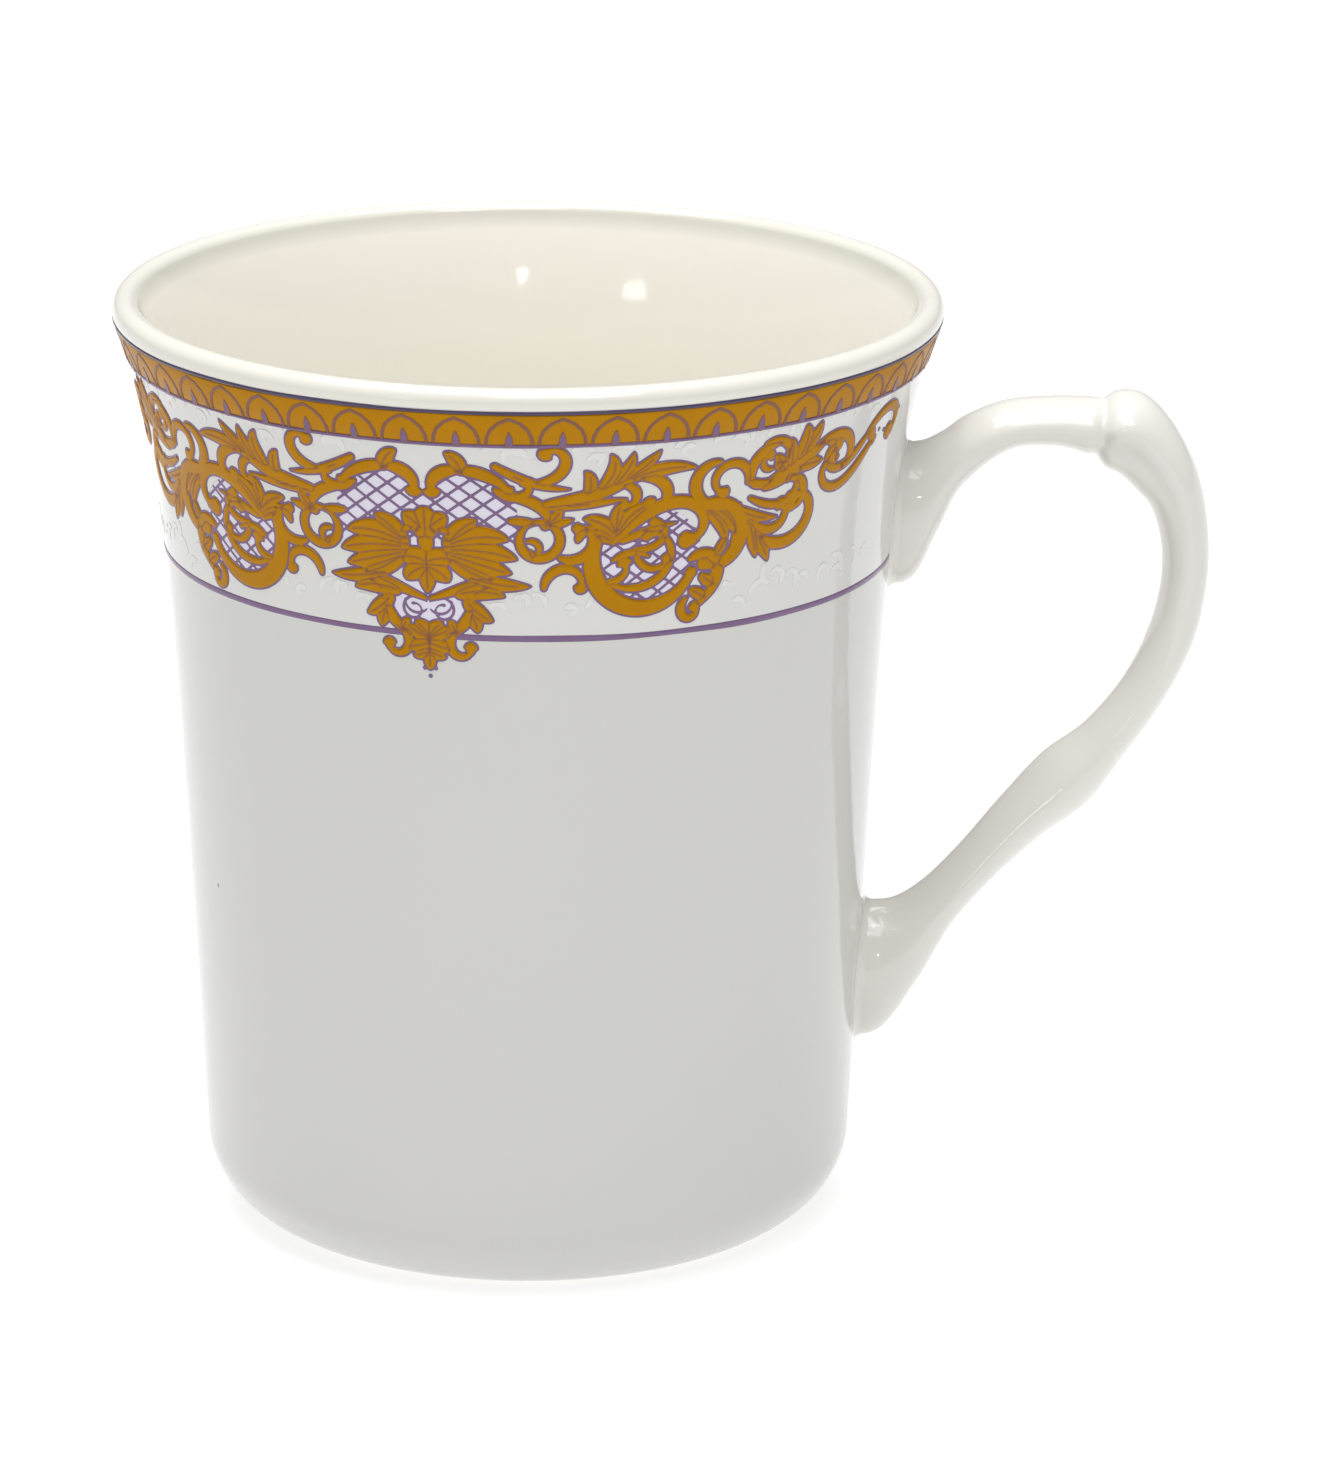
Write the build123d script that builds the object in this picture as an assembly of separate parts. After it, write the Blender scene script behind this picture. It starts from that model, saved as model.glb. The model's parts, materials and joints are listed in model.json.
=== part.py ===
"""A handled china cup: a flared body on a rounded foot, a moulded handle stuck on with slip,
and on-glaze enamel trims that are fired on as thin raised skins.

Millimetres, +Z up. The origin is on the table, under the middle of the foot.
The handle stands out along +X.
"""
from build123d import *
import math
import os

os.makedirs("parts", exist_ok=True)

# ---- the body ----
HEIGHT = 94.6  # table to the top of the lip
RIM_RADIUS = 41.0  # widest point of the rounded lip
WALL = 2.7  # wall thickness, the same from the lip to the inner corner
BELLY_RADIUS = 32.65  # body radius where the rounded base ends
WALL_TAPER = 4.4  # how much the wall widens over its straight run
LIP_LEAN = 21.5  # degrees by which the wall leans out where it runs into the lip
BASE_CORNER = 8.6  # radius of the rounded base
FLOOR = 4.6  # clay left under the inside of the cup
INNER_CORNER = 6.5  # radius between the inside wall and the floor
FOOT_WIDTH = 3.2  # width of the ring that the cup stands on
FOOT_RECESS = 1.2  # how far the underside is hollowed inside that ring
FOOT_EASE = 0.4  # rounding of the ring's inner edge

# ---- the handle ----
HANDLE_REACH = 32.0  # from the wall to the outside of the handle's outer run
HANDLE_DROP = 10.3  # the handle's highest point, below the lip
HANDLE_BASE = 17.2  # the lower joint's lowest point, above the table
HANDLE_DEPTH = 4.8  # thickness of the outer run, seen from the side
HANDLE_WIDTH = 9.0  # width of the handle, seen from its end
SLIP = 0.4  # clay slip left between each foot of the handle and the wall

# ---- the enamel ----
ENAMEL = 0.15  # how far a gold piece stands off the glaze
LINE = 0.10  # how far a lilac line stands off the glaze
BAND_DROP = 2.3  # top of the gold rim band, below the lip
BAND_HEIGHT = 3.1  # height of that band
EDGE_LINE = 0.35  # height of the lilac line along each edge of the band
ARCHES = 50  # arches painted round the band
FIRST_ARCH = -2.6  # azimuth of the first one
ARCH_WIDTH = 4.4  # width of one arch at its foot
ARCH_STROKE = 0.45  # width of the painted line of an arch
ARCH_GAP = 0.25  # clear gold under and over an arch
RING_DROP = 25.3  # the lilac ring round the body, below the lip
RING_HEIGHT = 0.7  # height of that ring
RING_GAP = 0.6  # clearance between the ring's ends and the handle's foot
FRIEZE_DROP = 30.0  # lowest point that the frieze may reach, below the lip
SKIN_ROOT = 1.0  # how deep a skin is drawn before the cup is taken away from it
FRONT_AZIMUTH = -15.0  # where the front palmette stands, from -Y towards +X
BACK_AZIMUTH = 180.0  # where the back one stands
FRIEZE_RADIUS = 36.5  # radius at which the frieze is measured out
PALMETTE_MIDDLE = 17.9  # middle of the palmette's height, below the lip
MEDALLION_OFFSET = 20.9  # from the palmette to the middle of a medallion
MEDALLION_DROP = 17.7  # middle of a medallion, below the lip
MEDALLION_RADIUS = 5.8
SPRAY_OFFSET = 18.0  # from the palmette to the middle of the leaf spray
SPRAY_DROP = 9.4  # middle of the leaf spray, below the lip
LEAF_OFFSET = 36.0  # from the palmette to the middle of the leaf scroll
LEAF_DROP = 17.0  # middle of the leaf scroll, below the lip
TAIL_OFFSET = 41.0  # from the palmette to the middle of the tail scroll
TAIL_DROP = 10.6  # middle of the tail scroll, below the lip

LIP_RADIUS = WALL / 2  # the lip is a half round on the wall
LIP_Z = HEIGHT - LIP_RADIUS
LIP_R = RIM_RADIUS - LIP_RADIUS
WALL_TOP = LIP_Z - LIP_RADIUS * math.sin(math.radians(LIP_LEAN))  # where the wall meets the lip
WALL_TOP_RADIUS = LIP_R + LIP_RADIUS * math.cos(math.radians(LIP_LEAN))
FLARE = WALL_TOP_RADIUS - BELLY_RADIUS - WALL_TAPER
# The power that gives the flare its lean at the lip.
FLARE_POWER = (math.tan(math.radians(LIP_LEAN)) * (WALL_TOP - BASE_CORNER) - WALL_TAPER) / FLARE


def wall_radius(z):
    """Radius of the outside of the wall at height z."""
    u = max(0.0, (z - BASE_CORNER) / (WALL_TOP - BASE_CORNER))
    return BELLY_RADIUS + WALL_TAPER * u + FLARE * u**FLARE_POWER


def wall_normal(z):
    """Unit normal of the wall, as (outward, upward)."""
    step = 0.01
    slope = (wall_radius(z + step) - wall_radius(z - step)) / (2 * step)
    length = math.hypot(1, slope)
    return 1 / length, -slope / length


def wall_point(z, out=0.0):
    """A point of the wall's section, moved out along its normal."""
    n = wall_normal(z)
    return wall_radius(z) + out * n[0], z + out * n[1]


def wall_curve(z_low, z_high, out=0.0, count=15):
    """The wall's section between two heights as one smooth curve."""
    zs = [z_low + (z_high - z_low) * i / (count - 1) for i in range(count)]
    return Spline(*[wall_point(z, out) for z in zs])


def turned(face):
    """A section drawn as (radius, height), turned round the cup's axis."""
    return revolve(Plane.XZ * face, Axis.Z)


def body():
    """The shell, with a half-round lip, a rounded base and a ring foot."""
    lean = math.atan(WALL_TAPER / (WALL_TOP - BASE_CORNER))  # of the straight run of wall
    z_in = FLOOR + INNER_CORNER * (1 - math.sin(lean)) - WALL * math.sin(lean)
    outer = wall_curve(BASE_CORNER, WALL_TOP)
    inner = wall_curve(z_in, WALL_TOP, -WALL)
    lip = ThreePointArc(outer @ 1, (LIP_R, HEIGHT), inner @ 1)
    fall = (-math.sin(lean), -math.cos(lean))
    corner = JernArc(inner @ 0, fall, INNER_CORNER, math.degrees(lean) - 90)
    floor_z = (corner @ 1).Y
    foot_out = BELLY_RADIUS - BASE_CORNER
    foot_in = foot_out - FOOT_WIDTH
    base = JernArc((foot_out, 0), (1, 0), BASE_CORNER, 90)
    rest = Polyline(
        corner @ 1,
        (0, floor_z),
        (0, FOOT_RECESS),
        (foot_in, FOOT_RECESS),
        (foot_in + FOOT_EASE, 0),
        (foot_out, 0),
    )
    return turned(make_face([outer, lip, inner, corner, rest, base]))


def core(out):
    """All that lies inside the wall's outside, moved out by a clearance."""
    wall = wall_curve(BASE_CORNER, WALL_TOP, out)
    rest = Polyline(wall @ 1, (0, (wall @ 1).Y), (0, (wall @ 0).Y), wall @ 0)
    return turned(make_face([wall, rest]))


def layer(z_low, z_high, low, high):
    """A turned layer over the wall between two offsets from it."""
    near = wall_curve(z_low, z_high, low)
    far = wall_curve(z_low, z_high, high)
    return turned(make_face([near, Line(near @ 1, far @ 1), far, Line(far @ 0, near @ 0)]))


def skin(z_low, z_high, thickness, cup):
    """A fired-on skin: the layer over the wall, with the cup itself taken away."""
    return layer(z_low, z_high, -SKIN_ROOT, thickness) - cup


# The handle's sections, from the upper joint to the lower one. Each row says where the middle
# is (share of the reach, share of the height), the way the section's depth points, in degrees
# from outward to upward, and its depth and width against the outer run's.
SECTIONS = (
    (-0.06, 0.815, 88, 3.10, 1.22),
    (0.06, 0.820, 88, 2.90, 1.17),
    (0.125, 0.862, 88, 2.10, 1.09),
    (0.19, 0.911, 86, 1.46, 1.02),
    (0.31, 0.950, 90, 1.00, 0.98),
    (0.45, 0.957, 86, 0.98, 0.98),
    (0.57, 0.950, 81, 1.20, 1.02),
    (0.69, 0.943, 73, 1.60, 1.09),
    (0.77, 0.907, 63, 1.52, 1.07),
    (0.86, 0.855, 48, 1.26, 1.00),
    (0.915, 0.785, 24, 1.02, 0.96),
    (0.93, 0.710, 0, 0.96, 0.93),
    (0.905, 0.625, -18, 0.98, 0.93),
    (0.83, 0.540, -31, 0.96, 0.96),
    (0.725, 0.463, -41, 1.10, 1.00),
    (0.61, 0.402, -48, 1.46, 1.04),
    (0.475, 0.340, -50, 1.20, 0.98),
    (0.34, 0.266, -47, 1.02, 0.96),
    (0.23, 0.203, -58, 1.16, 1.00),
    (0.145, 0.148, -76, 1.90, 1.11),
    (0.055, 0.108, -86, 2.84, 1.17),
    (-0.06, 0.105, -88, 3.05, 1.22),
)
HANDLE_TOP = HEIGHT - HANDLE_DROP
OVAL_STEPS = 6  # steps that carry each half of a section's oval


def handle_section(row):
    """One oval section of the handle, on its own plane, started on its outer side."""
    out, up, angle, depth, width = row
    z = HANDLE_BASE + up * (HANDLE_TOP - HANDLE_BASE)
    a = math.radians(angle)
    across = Plane(
        origin=(wall_radius(z) + out * HANDLE_REACH, 0, z),
        x_dir=(math.cos(a), 0, math.sin(a)),
        z_dir=(math.sin(a), 0, -math.cos(a)),
    )
    half_depth = HANDLE_DEPTH * depth / 2
    half_width = HANDLE_WIDTH * width / 2
    halves = []
    for start in (0, math.pi):
        turns = [start + math.pi * i / OVAL_STEPS for i in range(OVAL_STEPS + 1)]
        points = [(half_depth * math.cos(t), half_width * math.sin(t)) for t in turns]
        side = 1 if start == 0 else -1
        halves.append(Spline(*points, tangents=[(0, side), (0, -side)]))
    return across * make_face(halves)


def handle_blank():
    """The whole handle before its feet are cut to the wall."""
    return loft([handle_section(row) for row in SECTIONS])


def within(z_low, z_high):
    """A tall box that keeps only what lies between two heights."""
    size = 4 * RIM_RADIUS
    return Pos(0, 0, (z_low + z_high) / 2) * Box(size, size, z_high - z_low)


def turn(azimuth):
    """Turns a piece drawn at -Y to its azimuth, counted towards +X."""
    return Rot(0, 0, azimuth)


def on_wall(outline, azimuth, offset, drop, coat):
    """An outline (across, up) cut out of a skin, at a distance along the frieze."""
    angle = azimuth + math.degrees(offset / FRIEZE_RADIUS)
    facing = Plane(origin=(0, 0, HEIGHT - drop), x_dir=(1, 0, 0), z_dir=(0, -1, 0))
    prism = turn(angle) * extrude(facing * outline, 2 * RIM_RADIUS)
    return prism & coat


def closed(points):
    """A flat outline with straight sides."""
    return make_face(Polyline(*points, close=True))


def mirrored(half):
    """An outline from its right half, given from the top to the bottom."""
    return closed(list(half) + [(-x, y) for x, y in reversed(half)])


def flip(points, side):
    """An outline's points, turned over for the left side."""
    return [(side * x, y) for x, y in points]


PALMETTE = ((0.4, 8.0), (3.2, 10.0), (6.0, 7.6), (9.4, 6.0), (8.4, 1.4), (7.4, -0.6), (9.3, -1.7),
            (6.4, -2.6), (7.2, -3.6), (5.0, -4.4), (5.0, -5.6), (3.2, -6.4), (2.9, -8.8), (1.6, -9.4),
            (0.3, -10.2))
SPRAY = ((-6.4, -2.2), (-3.0, 0.0), (-1.2, 2.6), (0.2, 1.0), (2.6, 2.9), (6.8, 1.4), (5.6, -2.0),
         (3.4, -2.2), (3.0, -0.6), (1.6, -1.8), (-1.6, -1.7))
LEAF = ((-4.4, 2.4), (-4.0, -0.6), (-2.6, -2.0), (1.0, -2.2), (3.2, -0.6), (3.8, 1.4), (2.4, 2.4),
        (0.4, 1.6), (-1.4, 0.2), (-2.2, 1.6))
TAIL = ((-10.0, -1.2), (-6.2, 4.0), (-2.4, 2.6), (2.8, 3.0), (6.0, 2.8), (10.4, 4.2), (9.2, 2.4),
        (5.6, 0.2), (1.2, -4.2), (-0.6, -2.6), (2.0, 1.0), (-4.0, -0.4), (-7.2, -1.8))


def arch_outline():
    """One painted arch: a half ellipse with its inside left open."""
    rise = BAND_HEIGHT - 2 * ARCH_GAP
    outer = Ellipse(ARCH_WIDTH / 2, rise)
    inner = Ellipse(ARCH_WIDTH / 2 - ARCH_STROKE, rise - ARCH_STROKE)
    upper_half = Pos(0, rise / 2) * Rectangle(2 * ARCH_WIDTH, rise)
    return Pos(0, -rise / 2) * ((outer - inner) & upper_half)


def write(name, shape):
    """Writes one node."""
    export_step(shape, f"parts/{name}.step")


def write_body_and_handle():
    """The thrown body, the cast handle, and the slip between them."""
    cup = body()
    write("cup_body", cup)
    blank = handle_blank()
    write("handle", blank - core(SLIP))
    slip = (blank & core(SLIP)) - core(0)
    middle = (HANDLE_BASE + HANDLE_TOP) / 2
    write("lower_handle_slip", slip & within(0, middle))
    write("upper_handle_slip", slip & within(middle, HEIGHT))
    return cup


def write_rim(cup):
    """The gold band under the lip, its two edge lines and its painted arches."""
    top = HEIGHT - BAND_DROP
    low = top - BAND_HEIGHT
    write("rim_gold_band", skin(low, top, ENAMEL, cup))
    write("rim_upper_line", skin(top, top + EDGE_LINE, LINE, cup))
    write("rim_lower_line", skin(low - EDGE_LINE, low, LINE, cup))
    coat = layer(low, top, ENAMEL, ENAMEL + LINE)
    drop = BAND_DROP + BAND_HEIGHT / 2
    arch = on_wall(arch_outline(), FIRST_ARCH, 0, drop, coat)
    arches = [turn(360 * i / ARCHES) * arch for i in range(ARCHES)]
    write("rim_arches", Compound(children=arches))


def write_frieze(cup):
    """The two repeats of the gold frieze, and the lilac ring that passes behind them."""
    coat = skin(HEIGHT - FRIEZE_DROP, HEIGHT - BAND_DROP - BAND_HEIGHT - EDGE_LINE, ENAMEL, cup)
    ring_z = HEIGHT - RING_DROP
    ring = skin(ring_z - RING_HEIGHT / 2, ring_z + RING_HEIGHT / 2, LINE, cup)
    opening = HANDLE_WIDTH * SECTIONS[0][4] + 2 * RING_GAP
    ring -= Pos(RIM_RADIUS, 0, ring_z) * Box(RIM_RADIUS, opening, 4 * RING_HEIGHT)
    for place, azimuth in (("front", FRONT_AZIMUTH), ("back", BACK_AZIMUTH)):
        palmette = on_wall(mirrored(PALMETTE), azimuth, 0, PALMETTE_MIDDLE, coat)
        write(f"{place}_palmette", palmette)
        ring -= palmette
        for hand, side in (("left", -1), ("right", 1)):
            for name, outline, offset, drop in (
                ("medallion", Circle(MEDALLION_RADIUS), MEDALLION_OFFSET, MEDALLION_DROP),
                ("leaf_spray", closed(flip(SPRAY, side)), SPRAY_OFFSET, SPRAY_DROP),
                ("leaf_scroll", closed(flip(LEAF, side)), LEAF_OFFSET, LEAF_DROP),
                ("tail_scroll", closed(flip(TAIL, side)), TAIL_OFFSET, TAIL_DROP),
            ):
                write(f"{place}_{hand}_{name}", on_wall(outline, azimuth, side * offset, drop, coat))
    write("body_ring", ring)


china = write_body_and_handle()
write_rim(china)
write_frieze(china)
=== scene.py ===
import json
import math

import bpy
import numpy as np
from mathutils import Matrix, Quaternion, Vector

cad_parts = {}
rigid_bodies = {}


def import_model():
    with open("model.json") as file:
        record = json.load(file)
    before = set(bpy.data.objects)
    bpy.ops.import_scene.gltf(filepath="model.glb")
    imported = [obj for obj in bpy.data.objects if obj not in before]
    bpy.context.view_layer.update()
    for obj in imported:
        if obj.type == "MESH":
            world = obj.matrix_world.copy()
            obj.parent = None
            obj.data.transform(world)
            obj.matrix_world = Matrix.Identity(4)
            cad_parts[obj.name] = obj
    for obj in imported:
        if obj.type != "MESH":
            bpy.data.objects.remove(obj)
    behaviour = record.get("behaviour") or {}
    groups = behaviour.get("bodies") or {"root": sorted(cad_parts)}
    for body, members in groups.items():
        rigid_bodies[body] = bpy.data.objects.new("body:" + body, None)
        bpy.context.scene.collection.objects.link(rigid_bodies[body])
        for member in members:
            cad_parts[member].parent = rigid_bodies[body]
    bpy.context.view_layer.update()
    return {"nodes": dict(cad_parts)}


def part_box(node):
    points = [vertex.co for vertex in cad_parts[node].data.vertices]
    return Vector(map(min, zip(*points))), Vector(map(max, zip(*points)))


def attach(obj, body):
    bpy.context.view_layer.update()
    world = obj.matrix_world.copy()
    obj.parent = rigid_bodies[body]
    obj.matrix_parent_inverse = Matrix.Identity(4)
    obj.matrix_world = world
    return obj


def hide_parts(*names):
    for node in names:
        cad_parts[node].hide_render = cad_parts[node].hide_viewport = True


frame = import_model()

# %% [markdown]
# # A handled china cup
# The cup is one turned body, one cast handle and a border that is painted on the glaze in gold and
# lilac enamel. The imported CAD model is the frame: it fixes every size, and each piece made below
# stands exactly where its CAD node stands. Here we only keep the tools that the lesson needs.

MM = 0.001
scene = bpy.context.scene

# %% [markdown]
# ## Looking at the cup
# A small object seen from near by is shown through a long lens, so that its rim is not stretched.
# The camera is put on a circle round the cup and turned towards it, then turned aside and tilted
# a little, because nobody aims a camera perfectly.

# %% The camera
CAMERA_DISTANCE = 0.700
CAMERA_ELEVATION = math.radians(17.4)
PAN = math.radians(-1.084)
TILT = math.radians(0.245)
LENS = 169.2
AIM = Vector((0, 0, 0.045))
camera = bpy.data.objects.new("camera", bpy.data.cameras.new("camera"))
scene.collection.objects.link(camera)
camera.location = (
    0,
    -CAMERA_DISTANCE * math.cos(CAMERA_ELEVATION),
    AIM.z + CAMERA_DISTANCE * math.sin(CAMERA_ELEVATION),
)
facing = (AIM - camera.location).to_track_quat("-Z", "Y")
pan = Quaternion((0, 1, 0), PAN)
tilt = Quaternion((1, 0, 0), TILT)
camera.rotation_mode = "QUATERNION"
camera.rotation_quaternion = facing @ pan @ tilt
camera.data.lens = LENS
camera.data.clip_start = 0.01
scene.camera = camera
scene.view_settings.view_transform = "Standard"
print("camera:", CAMERA_DISTANCE, "m away, with a lens of", LENS, "mm")

# %% [markdown]
# ## Shader sums in plain Python
# A material is a graph of nodes. Writing it as sums keeps it readable, so one small class wraps an
# output and turns `+`, `-` and `*` into Math nodes, also when a plain number comes first. Its
# method `add` makes any other node: the settings come first, then the values or links of its
# sockets.


# %% The shader class
class Shade:
    """An output of a material's nodes that can be used in sums."""

    def __init__(self, tree, out=None):
        self.tree = tree
        self.out = out

    def add(self, kind, settings=None, sockets=None, take=0):
        node = self.tree.nodes.new(kind)
        for name, value in (settings or {}).items():
            setattr(node, name, value)
        for name, value in (sockets or {}).items():
            if isinstance(value, Shade):
                self.tree.links.new(value.out, node.inputs[name])
            else:
                node.inputs[name].default_value = value
        return Shade(self.tree, node.outputs[take])

    def sum(self, operation, a, b):
        return self.add("ShaderNodeMath", {"operation": operation}, {0: a, 1: b})

    def __add__(self, other):
        return self.sum("ADD", self, other)

    def __sub__(self, other):
        return self.sum("SUBTRACT", self, other)

    def __rsub__(self, other):
        return self.sum("SUBTRACT", other, self)

    def __mul__(self, other):
        return self.sum("MULTIPLY", self, other)

    __radd__ = __add__
    __rmul__ = __mul__

    def blend(self, share, other):
        """This colour with a share of another one over it."""
        return mixed(self, share, self, other)


# %% Colours and new materials
def mixed(start, share, first, second):
    """Two colours mixed by a share of the second."""
    return start.add("ShaderNodeMix", {"data_type": "RGBA"}, {0: share, 6: first, 7: second}, 2)


def colour(red, green, blue):
    return (red, green, blue, 1.0)


def new_material(name, constants):
    """A material, a Shade to start its sums from, and its shader with its constants set."""
    material = bpy.data.materials.new(name)
    material.use_nodes = True
    tree = material.node_tree
    shader = tree.nodes["Principled BSDF"]
    for socket, value in constants.items():
        shader.inputs[socket].default_value = value
    return material, Shade(tree), shader


def feed(shader, sockets):
    """Links the values that vary over the surface."""
    for socket, value in sockets.items():
        value.tree.links.new(value.out, shader.inputs[socket])


# %% [markdown]
# ## Glazed china
# China is white clay under a layer of clear glass. The glaze is never quite even: it is a little
# warmer and thicker in places, it ripples like a fine orange peel, and a few specks of iron burn
# through. All that comes from noise in the cup's own space, in steps of a few millimetres. The
# outer wall gets a darker white than the handle and the lip, which is painted shade, and the
# inside a lighter, creamier one, which is painted light bounced round in the cup. The painted
# ground above the ring is a shade whiter, so one recipe takes its whites as arguments.

# %% The whites of the china, and its specks
# The outer wall's two whites are darker than the handle's and the lip's: painted shade.
SHADED_WHITE = colour(0.590, 0.583, 0.557)
SHADED_COOL = colour(0.576, 0.576, 0.551)
BRIGHT = colour(0.640, 0.636, 0.615)
SPECK = colour(0.10, 0.08, 0.06)
BARE_CLAY = colour(0.66, 0.63, 0.57)
HANDLE_WHITE = colour(0.700, 0.684, 0.635)
HANDLE_COOL = colour(0.670, 0.658, 0.620)
# The inside's whites are lighter and creamier than the outer wall's: painted light, bounced round
# in the cup.
BOUNCE_LIT_CREAM = colour(0.880, 0.850, 0.765)
BOUNCE_LIT_DEEP_CREAM = colour(0.865, 0.840, 0.770)
LIP_WHITE = colour(0.700, 0.680, 0.615)
SPECK_CELLS = 130.0  # cells per metre, each of which may hold a speck
SPECK_SIZE = 0.030  # in cells
SPECK_SHARE = 0.07  # share of the cells that hold one


# %% The recipe for glazed china
def noise(start, place, scale, detail=3.0):
    sockets = {"Vector": place, "Scale": scale, "Detail": detail}
    return start.add("ShaderNodeTexNoise", None, sockets)


def glazed_china(name, white=SHADED_WHITE, cool=SHADED_COOL, bare_below=None, above=None):
    """Glazed white china. Below a height, in metres, the clay is left bare. `above` gives the
    height where another white starts, how far it fades, and its colour."""
    material, start, shader = new_material(name, {"IOR": 1.5})
    place = start.add("ShaderNodeTexCoord", take=3)
    cloud = noise(start, place, 28.0)
    base = mixed(start, cloud, white, cool)
    cell = {"Vector": place, "Scale": SPECK_CELLS}
    from_middle = start.add("ShaderNodeTexVoronoi", None, cell)
    cell_colour = start.add("ShaderNodeTexVoronoi", None, cell, 1)
    chance = start.add("ShaderNodeSeparateColor", None, {"Color": cell_colour})
    small = start.sum("LESS_THAN", from_middle, SPECK_SIZE)
    speck = small * start.sum("LESS_THAN", chance, SPECK_SHARE)
    base = base.blend(speck * 0.75, SPECK)
    ripple = noise(start, place, 260.0, 2.0)
    grain = noise(start, place, 2600.0, 2.0)
    rough = 0.055 + 0.05 * noise(start, place, 60.0)
    height = start.add("ShaderNodeSeparateXYZ", None, {"Vector": place}, 2)
    if bare_below is not None:
        edge = bare_below + 0.0006 * noise(start, place, 300.0)
        bare = start.sum("LESS_THAN", height, edge)
        base = base.blend(bare, BARE_CLAY)
        rough = rough + bare * 0.6
        ripple = ripple + bare * grain * 3.0
    if above is not None:
        low, fade, other = above
        base = base.blend((height - low) * (1 / fade), other)
    bump = start.add(
        "ShaderNodeBump", None, {"Strength": 0.06, "Distance": 0.0006, "Height": ripple}
    )
    feed(shader, {"Base Color": base, "Roughness": rough, "Normal": bump})
    return material


# %% China for the body, the handle and the inside
ring_height, rim_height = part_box("body_ring")[0].z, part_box("cup_body")[1].z
# The outer wall takes the darker whites, which are painted shade.
shaded_body_china = glazed_china(
    "white_glazed_china", bare_below=0.0002, above=(ring_height, 0.1 * MM, BRIGHT)
)
handle_china = glazed_china("white_glazed_china_handle", HANDLE_WHITE, HANDLE_COOL)
# Near the rim the inside's painted bounce light fades to the lip's white.
lip_change = (rim_height - 2.6 * MM, 1.4 * MM, LIP_WHITE)
bounce_lit_inside_china = glazed_china("white_glazed_china_inside", BOUNCE_LIT_CREAM, BOUNCE_LIT_DEEP_CREAM, above=lip_change)
print("china:", ", ".join(m.name for m in (shaded_body_china, handle_china, bounce_lit_inside_china)))

# %% [markdown]
# ## The turned body
# A cup is thrown or jiggered on a wheel, so it is one section turned round an axis. The wall is
# almost a cone that flares late, near the lip. Three numbers describe it. They are fitted to the
# rings of the CAD body, so that the lathe below is smooth and stands exactly where the CAD does.

# %% The wall, read from the CAD body
FLARE_POWER = 7.4
WALL = 2.7
BASE_CORNER = 8.6
FLOOR = 4.6
INNER_CORNER = 6.5
FOOT_WIDTH = 3.2
FOOT_RECESS = 1.2
LIP_RADIUS = WALL / 2
LIP_LEAN = 21.5
body_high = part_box("cup_body")[1]
HEIGHT = body_high.z / MM
RIM_RADIUS = body_high.y / MM
LIP_Z = HEIGHT - LIP_RADIUS
WALL_TOP = LIP_Z - LIP_RADIUS * math.sin(math.radians(LIP_LEAN))
vertices = frame["nodes"]["cup_body"].data.vertices
points = np.array([v.co for v in vertices]) / MM
normals = np.array([v.normal for v in vertices])
radii, heights = np.hypot(points[:, 0], points[:, 1]), points[:, 2]
outward = (points * normals)[:, :2].sum(axis=1) / np.maximum(radii, 1)
on_wall = (outward > 0.5) & (heights > BASE_CORNER - 0.01) & (heights < WALL_TOP + 0.01)
rise = (heights[on_wall] - BASE_CORNER) / (LIP_Z - BASE_CORNER)
terms = np.stack([np.ones_like(rise), rise, rise**FLARE_POWER], axis=1)
(BELLY, TAPER, FLARE), *_ = np.linalg.lstsq(terms, radii[on_wall], rcond=None)
misfit = np.abs(terms @ (BELLY, TAPER, FLARE) - radii[on_wall]).max()
print("wall:", round(BELLY, 3), round(TAPER, 3), round(FLARE, 3), "misfit", round(misfit, 4), "mm")


# %% Radius and direction of the wall
def wall_radius(z):
    """Radius of the outside of the wall at a height, both in mm."""
    share = np.maximum(0.0, (np.asarray(z, float) - BASE_CORNER) / (LIP_Z - BASE_CORNER))
    return BELLY + TAPER * share + FLARE * share**FLARE_POWER


def wall_normal(z):
    """The wall's outward direction, as (outward, upward)."""
    slope = (wall_radius(np.add(z, 0.01)) - wall_radius(np.subtract(z, 0.01))) / 0.02
    length = np.hypot(1, slope)
    return 1 / length, -slope / length


# %% [markdown]
# The section runs from the axis under the cup, round the foot ring, up the wall, over the half
# round lip and back down to the axis inside. Rings close together at the lip and the corners keep
# their highlights round.


# %% The section
def arc(centre, radius, start, end, count):
    """Points of an arc, with angles in degrees."""
    turns = np.radians(np.linspace(start, end, count))
    return [(centre[0] + radius * math.cos(t), centre[1] + radius * math.sin(t)) for t in turns]


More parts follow.
